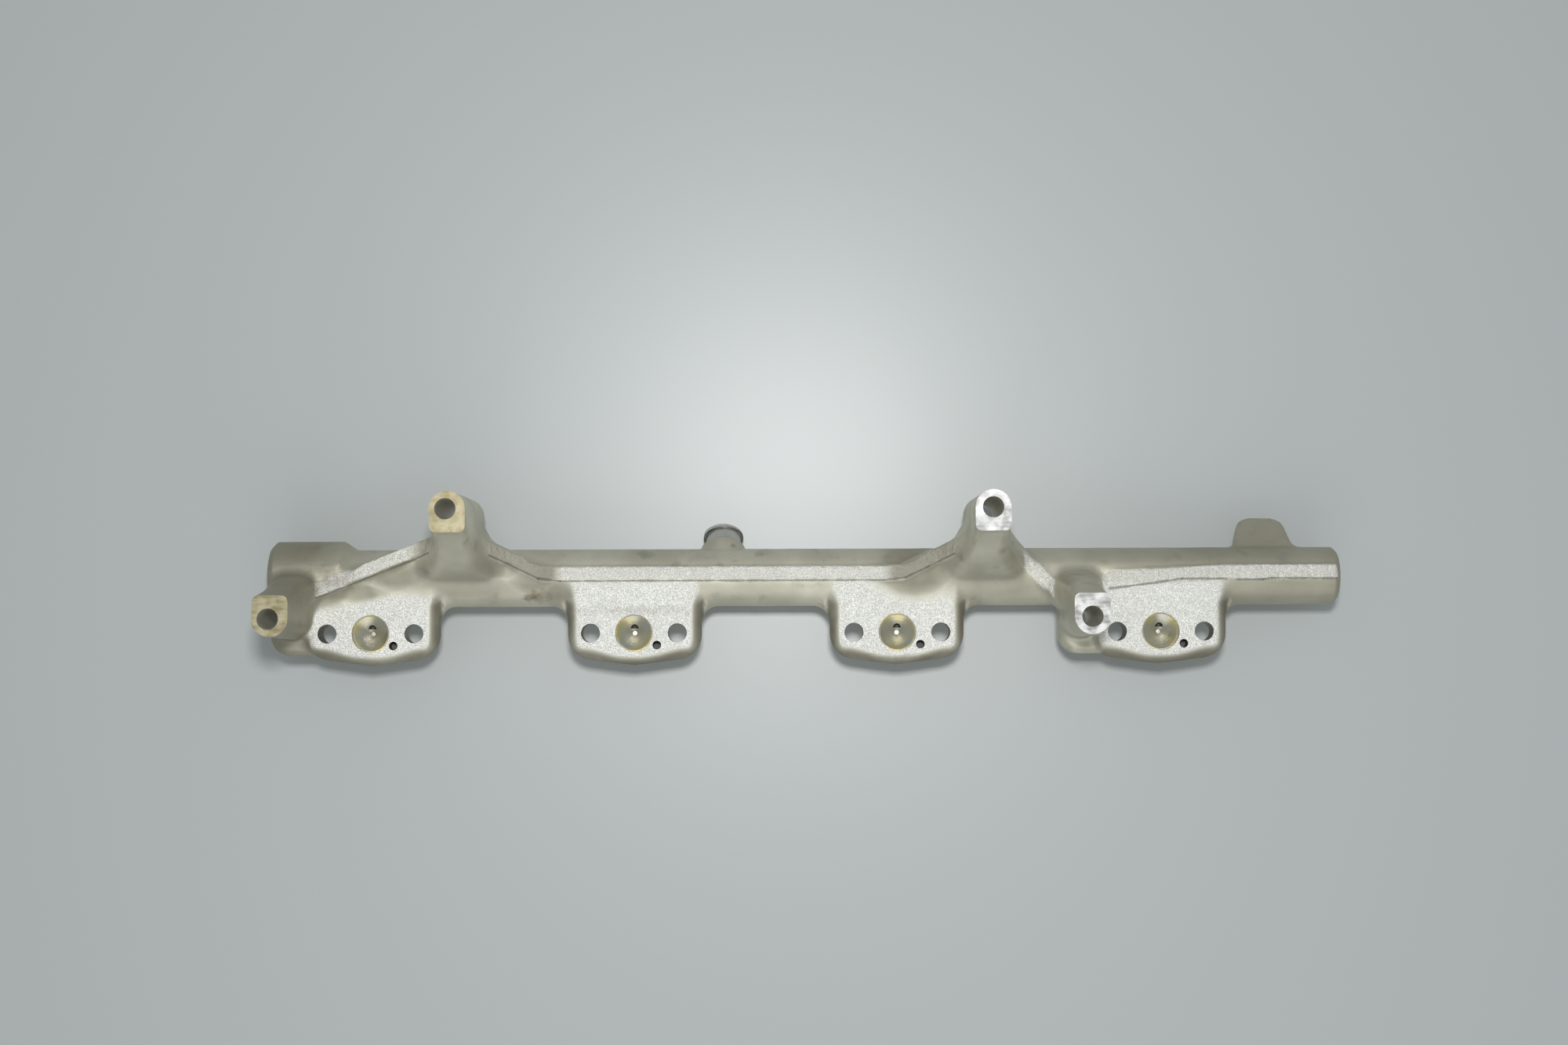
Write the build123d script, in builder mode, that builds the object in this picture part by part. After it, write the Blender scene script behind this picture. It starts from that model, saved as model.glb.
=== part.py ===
"""Fuel rail of a four cylinder direct injection engine: one steel forging, machined.

The origin is in the plane of the four feet, midway between the two rear bolt holes. X runs along
the rail, Y points to the rear and Z points from the rail to the cylinder head that it bolts to.
All sizes are in millimetres.
"""

import os
from math import cos, radians, sin, sqrt, tan

from build123d import *

# Engine: the injectors stand one cylinder pitch apart, and the rear feet two.
pitch = 91.0
cylinders = 4
rear_foot_lead = 30.5  # from an injector to the rear foot on its right
front_foot_lag = 28.0  # from an injector to the front foot on its left

# Tube: its axis lies below the plane of the feet and in front of the rear bolts.
tube_radius = 10.0
tube_depth = 43.5
tube_setback = 21.5
tube_before = 35.6  # tube left of the first injector
tube_after = 62.8  # tube right of the last injector
end_chamfer = 1.6
head_radius = 13.0
head_length = 25.0
head_taper = 4.5
head_chamfer = 1.8

# Bore along the tube, blind at the right, with the sensor's port in the head.
bore_radius = 5.0
bore_end_wall = 12.0
drill_point_angle = 30.0  # from a plane across the bore
port_radius = 6.0
port_length = 13.0
port_chamfer = 1.0

# Pads: flat plates in front of the tube, one for each injector.
pad_rise = 9.5  # pad face above the tube's axis
pad_thickness = 9.0
pad_half_width = 23.2
pad_tip = 30.5  # lowest point in front of the tube's axis
pad_vee = 2.9  # how much the lower edge rises from its tip to the corners
pad_corner = 9.0
pad_edge = 3.2
pad_root = 6.0  # radius from the pad's side walls to the tube

# Injector seat: a turned cup with a cone, fed through an oblique passage from the bore.
seat_offset = 19.4  # in front of the tube's axis
seat_radius = 6.0
seat_wall = 1.2
seat_depth = 4.6
seat_floor_radius = 1.0
passage_radius = 1.45
passage_offset = 1.9
clamp_hole_radius = 3.3
clamp_hole_reach = 15.0
clamp_clearance = 4.8  # room for a clamp's screw beside a foot
dowel_hole_radius = 1.5
dowel_hole_x = 7.9
dowel_hole_y = 4.2
dowel_hole_depth = 6.0

# Feet: columns with a machined end, square on the side of the tube and round on the other
foot_hole_radius = 3.55
foot_back = -2.0  # bolt seat at the far end of a foot, above the tube's axis
foot_tip_radius = 5.95
foot_base_radius = 6.6
left_foot_shift = 0.7  # the forging of the left feet stands to the right of their bolts
foot_square = 7.8  # from the bolt to the square side at the tip
foot_corner = 2.0
flank_inset = 0.8  # the flank starts inside the column's tip and comes out of its walls below
front_foot_setback = 14.9
flank_past_axis = 2.4  # how far the flank runs past the tube's axis
flank_shares = (0, 0.35, 0.7, 1)  # heights of its sections, from the tip to where it is widest
flank_front_rise = 0.25  # how much its front bulges between them
rear_flank = 21.0  # half width of the flank where it meets the tube
left_foot_flanks = (15.0, 8.0)  # of a front foot: towards its pad, then away from it
right_foot_flanks = (9.0, 13.0)
apron_reach = 12.0  # front of the base of a front foot, from its bolt
apron_rise = 6.5
apron_corner = 7.0
apron_edge = 2.0
flank_rise = 8.0
spot_face_radius = 6.2
spot_face_depth = 0.6

# Ribs along the parting line, with the trimmed flash on their crest
rib_width = 4.8
rib_rise = 10.0
rib_centre = 1.2  # crest of the straight rib behind the tube's axis
rib_run = 29.0  # from a rear foot to where its rib joins the straight one
rib_meets_foot = 6.3  # in front of the rear bolt
rib_elbow_x = 9.0  # elbow of the left rib, from the front foot
rib_elbow_y = 10.1
rib_bend = 30.0
rib_sweep = 26.0  # radius by which the crest rises to a rear foot
rib_sweep_angle = 60.0
rib_sweep_small = 10.0  # the same between a rear and a front foot
rib_sweep_small_angle = 65.0
left_rib_rise = 12.5
last_rib_start = 17.6  # left edge of the crest over the last pad, from its injector
last_rib_rear_drop = 1.8  # its edges fall away from the straight crest there
last_rib_front_drop = 3.4
last_rib_knee = 7.5

# Inlet: a male thread on a flared neck, pointing back and down
inlet_angle = 36.4  # below the Y axis
inlet_radius = 7.0
neck_radius = 7.7
neck_end = 12.6  # from the tube's axis
inlet_end = 19.4  # from the tube's axis
inlet_chamfer = 0.8
inlet_flare = 3.2
inlet_bore_radius = 2.0
inlet_cone_radius = 4.6
inlet_cone_angle = 30.0

# Lug at the right end, on the same side as the inlet
lug_after = 38.0  # from the last injector
lug_base = 12.0  # half width at the tube's axis
lug_top = 7.6
lug_reach = 21.3
lug_thickness = 12.0
lug_round = 5.0
lug_root = 3.0

# What follows from the driving dimensions
first_seat = -pitch - rear_foot_lead
last_seat = first_seat + (cylinders - 1) * pitch
seats = [first_seat + number * pitch for number in range(cylinders)]
rear_feet = [first_seat + rear_foot_lead, first_seat + 2 * pitch + rear_foot_lead]
front_feet = [first_seat - front_foot_lag, last_seat - front_foot_lag]
tube_left = first_seat - tube_before
tube_right = last_seat + tube_after
pad_rear = rib_centre + rib_width / 2
axis_point = Vector(0, -tube_setback, -tube_depth)
from_base = (Align.CENTER, Align.CENTER, Align.MIN)
inlet_way = Vector(0, cos(radians(inlet_angle)), -sin(radians(inlet_angle)))

plan = Plane(origin=axis_point)
side = Plane(origin=axis_point, x_dir=(1, 0, 0), z_dir=(0, -1, 0))
across_inlet = Plane(origin=axis_point, x_dir=(1, 0, 0), z_dir=inlet_way)
along_inlet = Plane(origin=axis_point, x_dir=inlet_way, z_dir=(1, 0, 0))
tube_axis = Axis(axis_point, (1, 0, 0))
inlet_axis = Axis(axis_point, inlet_way)


def on_tube(left, right):
    """Filter for the edges between two places on X that lie on the tube's round surface."""

    def chosen(edge):
        middle = edge @ 0.5
        away = sqrt((middle.Y - axis_point.Y) ** 2 + (middle.Z - axis_point.Z) ** 2)
        return left < middle.X < right and abs(away - tube_radius) < 0.01

    return chosen


# Tube with its head
with BuildPart() as tube:
    with BuildSketch(side):
        with BuildLine():
            Polyline(
                (tube_left, 0),
                (tube_left, head_radius),
                (tube_left + head_length, head_radius),
                (tube_left + head_length + head_taper, tube_radius),
                (tube_right - end_chamfer, tube_radius),
                (tube_right, tube_radius - end_chamfer),
                (tube_right, 0),
                close=True,
            )
        make_face()
    revolve(axis=tube_axis)
    chamfer(tube.faces().sort_by(Axis.X)[0].edges(), head_chamfer)


# Pad: its face is flush with the crest of the tube, and its back is flat
with BuildPart() as pad:
    with BuildSketch(Plane.XY.offset(pad_rise - pad_thickness)) as pad_outline:
        with BuildLine():
            Polyline(
                (-pad_half_width, pad_rear),
                (-pad_half_width, -pad_tip + pad_vee),
                (0, -pad_tip),
                (pad_half_width, -pad_tip + pad_vee),
                (pad_half_width, pad_rear),
                close=True,
            )
        make_face()
        fillet(pad_outline.vertices().sort_by(Axis.Y)[1:3], pad_corner)
    extrude(amount=pad_thickness)
    fillet(pad.faces().sort_by(Axis.Z)[-1].edges(), pad_edge)


# Lug: a tapered block with rounded corners
with BuildPart() as lug:
    with BuildSketch(Plane(origin=axis_point, x_dir=(1, 0, 0), z_dir=along_inlet.y_dir)) as lug_outline:
        with BuildLine():
            Polyline(
                (last_seat + lug_after - lug_base, 0),
                (last_seat + lug_after - lug_top, lug_reach),
                (last_seat + lug_after + lug_top, lug_reach),
                (last_seat + lug_after + lug_base, 0),
                close=True,
            )
        make_face()
        fillet(lug_outline.vertices().group_by(Axis.Y)[-1], lug_round)
    extrude(amount=lug_thickness / 2, both=True)


def column_section(height, radius, reach):
    """Section of a foot's column: round behind the bolt at the origin, square in front of it."""
    with BuildSketch(Plane.XY.offset(height)) as section:
        with BuildLine():
            ThreePointArc((radius, 0), (0, radius), (-radius, 0))
            Polyline((-radius, 0), (-radius, -reach), (radius, -reach), (radius, 0))
        make_face()
        fillet(section.vertices().group_by(Axis.Y)[0], foot_corner)
    return section.sketch


def flank_section(share, left, right, reach):
    """Section of a foot's flank, at a share of the way from the tip down to where it is widest."""
    tip_half_width = foot_tip_radius - flank_inset
    tip_reach = foot_square - flank_inset
    back = share * (foot_base_radius - foot_tip_radius) + tip_half_width
    front = -tip_reach - share * (1 + flank_front_rise * (1 - share)) * (reach - tip_reach)
    side_left = tip_half_width + share**3 * (left - tip_half_width)
    side_right = tip_half_width + share**3 * (right - tip_half_width)
    with BuildSketch(Plane.XY.offset(tube_depth - share * (tube_depth - flank_rise))) as section:
        with BuildLine():
            Polyline((-back, 0), (-side_left, front), (side_right, front), (back, 0), close=True)
        make_face()
        fillet(section.vertices().group_by(Axis.Y)[0], foot_corner * (1 + 2 * share))
    return section.sketch


def foot(setback, left, right):
    """Foot that stands a setback from the tube's axis, with flanks that run out to it."""
    reach = setback + flank_past_axis
    with BuildPart() as whole:
        column_ends = [
            column_section(foot_back, foot_base_radius, setback),
            column_section(tube_depth, foot_tip_radius, foot_square),
        ]
        loft(sections=column_ends, ruled=True)
        loft(sections=[flank_section(share, left, right, reach) for share in flank_shares])
    return whole.part


# Ribs: the plan of the parting line, cut to the outline seen from the front
left_line = [
    (front_feet[0], -front_foot_setback),
    (front_feet[0] + rib_elbow_x, -front_foot_setback + rib_elbow_y),
    (rear_feet[0], tube_setback - rib_meets_foot),
]
middle_line = [
    (rear_feet[0], tube_setback - rib_meets_foot),
    (rear_feet[0] + rib_run, rib_centre),
    (rear_feet[1] - rib_run, rib_centre),
    (rear_feet[1], tube_setback - rib_meets_foot),
]
right_line = [
    (rear_feet[1], tube_setback),
    (front_feet[1], -front_foot_setback),
]


def sweep_run(radius, angle):
    """How far a crest takes to rise to a foot, and by how much it rises."""
    return radius * sin(radians(angle)), radius * (1 - cos(radians(angle)))


def crest(left, right, rise, left_foot, right_foot):
    """Outline from the front of a rib between two feet, which its crest sweeps up to."""
    left_run, left_rise = sweep_run(*left_foot)
    right_run, right_rise = sweep_run(*right_foot)
    left_wall, right_wall = left + foot_tip_radius, right - foot_tip_radius
    with BuildSketch(side) as outline:
        with BuildLine():
            Line((left, foot_back), (left, rise + left_rise))
            Line((left, rise + left_rise), (left_wall, rise + left_rise))
            RadiusArc((left_wall, rise + left_rise), (left_wall + left_run, rise), -left_foot[0])
            Line((left_wall + left_run, rise), (right_wall - right_run, rise))
            RadiusArc((right_wall - right_run, rise), (right_wall, rise + right_rise), -right_foot[0])
            Line((right_wall, rise + right_rise), (right, rise + right_rise))
            Line((right, rise + right_rise), (right, foot_back))
            Line((right, foot_back), (left, foot_back))
        make_face()
    return outline.sketch


def rib(line, outline):
    """Wall along a line in plan, trimmed to its outline from the front."""
    with BuildPart() as wall:
        with BuildSketch(plan.offset(foot_back)):
            with BuildLine():
                if len(line) > 2:
                    FilletPolyline(*line, radius=rib_bend)
                else:
                    Line(*line)
            trace(line_width=rib_width)
        extrude(amount=tube_depth - foot_back)
        extrude(outline, amount=3 * tube_setback, both=True, mode=Mode.INTERSECT)
    return wall.part


rear_sweep = (rib_sweep, rib_sweep_angle)
front_sweep = (rib_sweep_small, rib_sweep_small_angle)
ribs = [
    rib(left_line, crest(front_feet[0], rear_feet[0], left_rib_rise, front_sweep, front_sweep)),
    rib(middle_line, crest(rear_feet[0], rear_feet[1], rib_rise, rear_sweep, rear_sweep)),
    rib(right_line, crest(rear_feet[1], front_feet[1], rib_rise, front_sweep, front_sweep)),
]

# Crest over the last pad and along the right end of the tube
with BuildPart() as last_rib:
    with BuildSketch(plan):
        with BuildLine():
            crest_rear = rib_centre + rib_width / 2
            crest_front = rib_centre - rib_width / 2
            Polyline(
                (last_seat - last_rib_start, crest_rear - last_rib_rear_drop),
                (last_seat + pad_half_width, crest_rear),
                (tube_right - end_chamfer, crest_rear),
                (tube_right - end_chamfer, crest_front),
                (last_seat + last_rib_knee, crest_front),
                (last_seat - last_rib_start, crest_front - last_rib_front_drop),
                close=True,
            )
        make_face()
    extrude(amount=rib_rise)


def apron(left, right):
    """Base of a front foot: a low rounded block between its bolt's surroundings and the pad."""
    with BuildPart() as block:
        with BuildSketch(plan.offset(foot_back)) as outline:
            with BuildLine():
                front = -front_foot_setback - apron_reach
                Polyline((left, 0), (left, front), (right, front), (right, 0), close=True)
            make_face()
            fillet(outline.vertices().group_by(Axis.Y)[0], apron_corner)
        extrude(amount=apron_rise - foot_back)
        chamfer(block.faces().sort_by(Axis.Z)[-1].edges(), apron_edge)
    return block.part


# Seat: cylindrical wall, then a cone down to a small flat
with BuildPart() as seat_cutter:
    with BuildSketch(Plane.XZ):
        with BuildLine():
            Polyline(
                (0, 1),
                (seat_radius, 1),
                (seat_radius, -seat_wall),
                (seat_floor_radius, -seat_depth),
                (0, -seat_depth),
                close=True,
            )
        make_face()
    revolve(axis=Axis.Z)

# Bore with the sensor's port, cut from the left
with BuildPart() as bore_cutter:
    with BuildSketch(side):
        with BuildLine():
            Polyline(
                (tube_left, 0),
                (tube_left, port_radius + port_chamfer),
                (tube_left + port_chamfer, port_radius),
                (tube_left + port_length, port_radius),
                (tube_left + port_length + port_radius - bore_radius, bore_radius),
                (tube_right - bore_end_wall, bore_radius),
                (tube_right - bore_end_wall + bore_radius * tan(radians(drill_point_angle)), 0),
                close=True,
            )
        make_face()
    revolve(axis=tube_axis)

# Bore of the inlet, with the cone that seals the pipe's end
with BuildPart() as inlet_cutter:
    with BuildSketch(along_inlet):
        with BuildLine():
            cone_depth = (inlet_cone_radius - inlet_bore_radius) / tan(radians(inlet_cone_angle))
            Polyline(
                (0, 0),
                (0, inlet_bore_radius),
                (inlet_end - cone_depth, inlet_bore_radius),
                (inlet_end, inlet_cone_radius),
                (inlet_end, 0),
                close=True,
            )
        make_face()
    revolve(axis=inlet_axis)


def foot_shift(x):
    """The forging of a left foot stands a little to the right of its bolt."""
    return left_foot_shift if x < 0 else 0


# Oblique passage from the seat's cone up to the bore
passage_drop = pad_rise - seat_depth / 2
passage_run = seat_offset - passage_offset
passage_length = sqrt(passage_run**2 + passage_drop**2)


def passage_plane(seat):
    """Plane at the tube's axis that looks along the passage to a seat."""
    way = Vector(0, -passage_run, passage_drop)
    return Plane(origin=axis_point + Vector(seat, 0, 0), x_dir=(1, 0, 0), z_dir=way)


rear_foot = foot(tube_setback, rear_flank, rear_flank)
front_foot_solids = [
    foot(front_foot_setback, *left_foot_flanks),
    foot(front_foot_setback, *right_foot_flanks),
]
aprons = [
    apron(tube_left, seats[0]),
    apron(front_feet[1] - foot_base_radius, seats[-1]),
]
os.makedirs("parts", exist_ok=True)
with BuildPart() as rail_body:
    add(tube.part)
    with Locations(across_inlet):
        Cylinder(neck_radius, neck_end, align=from_base)
    fillet(rail_body.edges().filter_by(GeomType.BSPLINE), inlet_flare)
    with Locations(across_inlet):
        Cylinder(inlet_radius, inlet_end, align=from_base)
    chamfer(rail_body.edges().sort_by(inlet_axis)[-1], inlet_chamfer)
    add(lug.part)
    lug_x = last_seat + lug_after
    fillet(rail_body.edges().filter_by(on_tube(lug_x - lug_base - 1, lug_x + lug_base + 1)), lug_root)
    for seat in seats:
        add(pad.part.moved(plan.location * Location((seat, 0, 0))))
        inner, outer = pad_half_width / 2, pad_half_width + 1
        walls = rail_body.edges().filter_by(on_tube(seat + inner, seat + outer))
        if seat in seats[1:-1]:
            walls += rail_body.edges().filter_by(on_tube(seat - outer, seat - inner))
        fillet(walls.filter_by(GeomType.LINE, reverse=True), pad_root)
    for x in rear_feet:
        add(rear_foot.moved(plan.location * Location((x + foot_shift(x), tube_setback, 0))))
    for x, solid, block in zip(front_feet, front_foot_solids, aprons):
        stand = Location((x + foot_shift(x), -front_foot_setback, 0), (0, 0, 180))
        add(solid.moved(plan.location * stand))
        add(block)
    for wall in ribs:
        add(wall)
    add(last_rib.part)
    # Machining
    add(bore_cutter.part, mode=Mode.SUBTRACT)
    add(inlet_cutter.part, mode=Mode.SUBTRACT)
    for seat in seats:
        with Locations(plan.offset(pad_rise).location * Location((seat, -seat_offset, 0))):
            add(seat_cutter.part, mode=Mode.SUBTRACT)
        for x in (seat - clamp_hole_reach, seat + clamp_hole_reach):
            with Locations(plan.offset(pad_rise).location * Location((x, -seat_offset, 0))):
                Cylinder(clamp_hole_radius, 3 * pad_thickness, mode=Mode.SUBTRACT)
                Cylinder(clamp_clearance, tube_depth, align=from_base, mode=Mode.SUBTRACT)
        dowel = Location((seat + dowel_hole_x, -seat_offset - dowel_hole_y, 0))
        with Locations(plan.offset(pad_rise).location * dowel):
            Cylinder(dowel_hole_radius, 2 * dowel_hole_depth, mode=Mode.SUBTRACT)
        with Locations(passage_plane(seat)):
            Cylinder(passage_radius, passage_length, align=from_base, mode=Mode.SUBTRACT)
    for x, y in [(x, tube_setback) for x in rear_feet] + [(x, -front_foot_setback) for x in front_feet]:
        with Locations(plan.offset(foot_back).location * Location((x, y, 0))):
            Cylinder(foot_hole_radius, 3 * tube_depth, mode=Mode.SUBTRACT)
            Cylinder(spot_face_radius, 2 * spot_face_depth, mode=Mode.SUBTRACT)
rail_body.part.label = "rail_body"
export_step(rail_body.part, "parts/rail_body.step")
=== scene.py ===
# %% [markdown]
# # A forged fuel rail
# A fuel rail carries petrol at high pressure to four injectors. It is hammered from one bar of
# steel between two dies, blasted clean, and then drilled and milled where something bolts on or
# seals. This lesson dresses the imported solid: the corners inside get the soft radii of a forging,
# and the machined places are cut again afterwards, so that they stay sharp.

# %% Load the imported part
import math

import bmesh
import bpy
import numpy as np
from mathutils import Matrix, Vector


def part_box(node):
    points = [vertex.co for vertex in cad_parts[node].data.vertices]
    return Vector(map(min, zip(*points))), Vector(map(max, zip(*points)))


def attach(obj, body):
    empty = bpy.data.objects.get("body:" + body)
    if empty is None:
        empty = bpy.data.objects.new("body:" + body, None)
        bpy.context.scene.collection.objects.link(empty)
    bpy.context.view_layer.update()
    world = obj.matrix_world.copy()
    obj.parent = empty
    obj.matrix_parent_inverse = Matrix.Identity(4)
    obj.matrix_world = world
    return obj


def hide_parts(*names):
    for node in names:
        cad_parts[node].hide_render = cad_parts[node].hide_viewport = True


MM = 0.001
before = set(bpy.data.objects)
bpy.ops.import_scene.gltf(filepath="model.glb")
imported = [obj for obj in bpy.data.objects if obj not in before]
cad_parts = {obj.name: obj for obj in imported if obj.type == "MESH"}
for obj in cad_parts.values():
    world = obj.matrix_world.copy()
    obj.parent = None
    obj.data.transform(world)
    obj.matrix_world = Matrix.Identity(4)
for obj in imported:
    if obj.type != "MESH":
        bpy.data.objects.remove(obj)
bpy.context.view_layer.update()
print("nodes:", sorted(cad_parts))

# %% [markdown]
# ## Where things are
# The drilled and milled places are known from the drawing, so they are written down once here, in
# millimetres, and every cutter below is put together from them.

# %% Places on the drawing
PITCH = 91.0
AXIS = Vector((0.0, -21.5, -43.5))
SEATS = [-121.5 + PITCH * number for number in range(4)]
REAR_FEET = [-91.0, 91.0]
FRONT_FEET = [-149.5, 123.5]
FRONT_FOOT_Y = -36.4
PAD_FACE = -34.0
SEAT_Y = -40.9
CLAMP_SIDES = (-15.0, 15.0)  # the clamp holes, along the rail from their seat
DOWEL_ALONG, DOWEL_ACROSS = 7.9, -4.2  # the small locating hole, from its seat
TUBE_LEFT, TUBE_RIGHT = -157.1, 214.3
INLET_ANGLE = math.radians(36.4)
INLET_WAY = Vector((0.0, math.cos(INLET_ANGLE), -math.sin(INLET_ANGLE)))
NECK_END, INLET_END = 12.6, 19.4
feet = [Vector((x, 0.0, 0.0)) for x in REAR_FEET]
feet += [Vector((x, FRONT_FOOT_Y, 0.0)) for x in FRONT_FEET]
mouth = AXIS + INLET_WAY * INLET_END


def over(place, height):
    """The point a height above a place, or below it where the height is negative."""
    return place + Vector((0, 0, height))


def on_pad(seat, along=0.0, across=0.0):
    """A point on the face of a pad, from the middle of its seat."""
    return Vector((seat + along, SEAT_Y + across, PAD_FACE))


def on_axis(x):
    """A point on the axis of the tube."""
    return Vector((x, AXIS.y, AXIS.z))


print("seats at", SEATS)

# %% [markdown]
# ## Small helpers
# Operators act on all that is selected, so each one starts from an empty selection. Primitives are
# added at their size and place, and turned so that their length follows a given direction.

# %% Selecting and joining
def only(*pieces):
    """Select these objects and nothing else, and make the first one active."""
    bpy.ops.object.select_all(action="DESELECT")
    for piece in pieces:
        piece.select_set(True)
    bpy.context.view_layer.objects.active = pieces[0]


def apply_place(piece):
    """Move a piece's place into its mesh, so that its object sits at the origin."""
    only(piece)
    bpy.ops.object.transform_apply(location=True, rotation=True, scale=True)


def apply_modifier(piece, kind, **values):
    """Add a modifier, set it and apply it."""
    only(piece)
    modifier = piece.modifiers.new(kind.title(), kind)
    for key, value in values.items():
        setattr(modifier, key, value)
    bpy.ops.object.modifier_apply(modifier=modifier.name)


# %% Round bars
def rod(radius, start, end, top_radius=None, sides=64):
    """A round bar or cone from one point to another, in millimetres."""
    way = end - start
    bpy.ops.object.select_all(action="DESELECT")
    bpy.ops.mesh.primitive_cone_add(
        vertices=sides,
        radius1=radius * MM,
        radius2=(radius if top_radius is None else top_radius) * MM,
        depth=way.length * MM,
        location=(start + end) / 2 * MM,
        rotation=way.to_track_quat("Z", "Y").to_euler(),
    )
    piece = bpy.context.object
    apply_place(piece)
    return piece


# %% Soft steps
def smooth_step(values, low, high):
    """0 below low, 1 above high, and a soft rise between them."""
    share = np.clip((values - low) / (high - low), 0, 1)
    return share * share * (3 - 2 * share)


print("helpers ready")

# %% [markdown]
# ## Blank forging
# Before machining, the rail had no holes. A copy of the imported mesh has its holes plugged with
# rods, its feet made a little longer, and is then turned into an even skin of small squares by a
# voxel remesh. An even skin can be smoothed alike everywhere, which a CAD mesh with long thin
# triangles can't.

# %% Copy the solid and lengthen its feet
FOOT_STOCK = 1.5
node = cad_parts["rail_body"]
blank = node.copy()
blank.data = node.data.copy()
blank.parent = None
bpy.context.scene.collection.objects.link(blank)
only(blank)
bpy.ops.object.mode_set(mode="EDIT")
bpy.ops.mesh.select_all(action="SELECT")
bpy.ops.mesh.remove_doubles(threshold=0.002 * MM)
bpy.ops.mesh.select_all(action="DESELECT")
bpy.ops.mesh.select_mode(type="FACE")
skin = bmesh.from_edit_mesh(blank.data)
for face in skin.faces:
    face.select_set(face.normal.z > 0.99 and face.calc_center_median().z > -0.1 * MM)
bmesh.update_edit_mesh(blank.data)
bpy.ops.mesh.extrude_region_move(TRANSFORM_OT_translate={"value": (0, 0, FOOT_STOCK * MM)})
bpy.ops.object.mode_set(mode="OBJECT")
print("copy with longer feet:", len(blank.data.polygons), "faces")

# %% Plug its holes
FOOT_PLUG, SEAT_PLUG, CLAMP_PLUG, DOWEL_PLUG = 5.5, 6.3, 3.6, 1.8  # radii, a little over the holes'
PASSAGE_PLUG, PORT_PLUG, BORE_PLUG, INLET_PLUG = 3.0, 7.4, 5.3, 4.9
PAD_PLUG_DEPTH, DOWEL_PLUG_DEPTH, PASSAGE_PLUG_DEPTH = 8.9, 8.0, 4.0
FOOT_PLUG_END = AXIS.z - 1.8


def pad_plug(radius, place, depth):
    """A plug that ends flush with the face of a pad."""
    return rod(radius, Vector((place.x, place.y, PAD_FACE - depth)), place)


plugs = [rod(FOOT_PLUG, over(place, FOOT_PLUG_END), over(place, FOOT_STOCK)) for place in feet]
for seat in SEATS:
    plugs.append(pad_plug(SEAT_PLUG, on_pad(seat), PAD_PLUG_DEPTH))
    for side in CLAMP_SIDES:
        plugs.append(pad_plug(CLAMP_PLUG, on_pad(seat, side), PAD_PLUG_DEPTH))
    plugs.append(pad_plug(DOWEL_PLUG, on_pad(seat, DOWEL_ALONG, DOWEL_ACROSS), DOWEL_PLUG_DEPTH))
    plugs.append(rod(PASSAGE_PLUG, over(on_pad(seat), -PASSAGE_PLUG_DEPTH), on_axis(seat)))
plugs.append(rod(PORT_PLUG, on_axis(TUBE_LEFT), on_axis(TUBE_LEFT + 16)))
plugs.append(rod(BORE_PLUG, on_axis(TUBE_LEFT), on_axis(TUBE_RIGHT - 2)))
plugs.append(rod(INLET_PLUG, AXIS, mouth))
only(blank, *plugs)
bpy.ops.object.join()
blank.name = "rail_forging"
print("blank with plugs:", len(blank.data.polygons), "faces")

# %% An even skin
VOXEL = 0.45 * MM
apply_modifier(blank, "REMESH", mode="VOXEL", voxel_size=VOXEL, adaptivity=0.0)
print("even skin:", len(blank.data.polygons), "faces")

# %% [markdown]
# ## Forged radii
# Steel can't fill a sharp inside corner of a die, so wherever two forms of a forging meet, the
# corner between them is soft. The smoothing works on a group of points where the skin is hollow,
# and leaves the outer edges as crisp as the die made them.

# %% Read and write points
def mesh_arrays(piece):
    """Points, normals and edges of a mesh as arrays."""
    mesh = piece.data
    count = len(mesh.vertices)
    points = np.zeros(count * 3)
    normals = np.zeros(count * 3)
    edges = np.zeros(len(mesh.edges) * 2, np.int64)
    mesh.vertices.foreach_get("co", points)
    mesh.vertices.foreach_get("normal", normals)
    mesh.edges.foreach_get("vertices", edges)
    return points.reshape(-1, 3), normals.reshape(-1, 3), edges.reshape(-1, 2)


def move_points(piece, places):
    """Put the points of a mesh at new places, in millimetres."""
    piece.data.vertices.foreach_set("co", (places * MM).ravel())
    piece.data.update()


def weigh_points(piece, name, weight, levels):
    """Write a weight to a group of points, rounded to even levels."""
    group = piece.vertex_groups.new(name=name)
    for level in range(1, levels + 1):
        chosen = np.nonzero(np.round(weight * levels) == level)[0]
        group.add([int(index) for index in chosen], level / levels, "REPLACE")


# %% Find the hollow corners
HOLLOW_FROM, HOLLOW_RANGE = 0.02, 0.08  # rise of the neighbours over a point, in voxels
SPREAD_GAIN = 1.35


def neighbour_sums(values, edges, count):
    """For each point, the sum of a value over the points that its edges lead to."""
    total = np.zeros((count, values.shape[1]))
    np.add.at(total, edges[:, 0], values[edges[:, 1]])
    np.add.at(total, edges[:, 1], values[edges[:, 0]])
    return total


def hollow_weight(piece, spread):
    """How hollow the skin is at each point, from 0 to 1, spread over its neighbours."""
    points, normals, edges = mesh_arrays(piece)
    count = len(points)
    links = neighbour_sums(np.ones((count, 1)), edges, count)
    middle = neighbour_sums(points, edges, count) / links
    rise = ((middle - points) * normals).sum(axis=1, keepdims=True) / VOXEL
    weight = np.clip((rise - HOLLOW_FROM) / HOLLOW_RANGE, 0, 1)
    for _ in range(spread):
        spread_out = neighbour_sums(weight, edges, count) / links * SPREAD_GAIN
        weight = np.clip(np.maximum(weight, spread_out), 0, 1)
    return weight[:, 0]


# %% Regions to soften
def everywhere(places):
    """1 at every point."""
    return np.ones(len(places))


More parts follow.
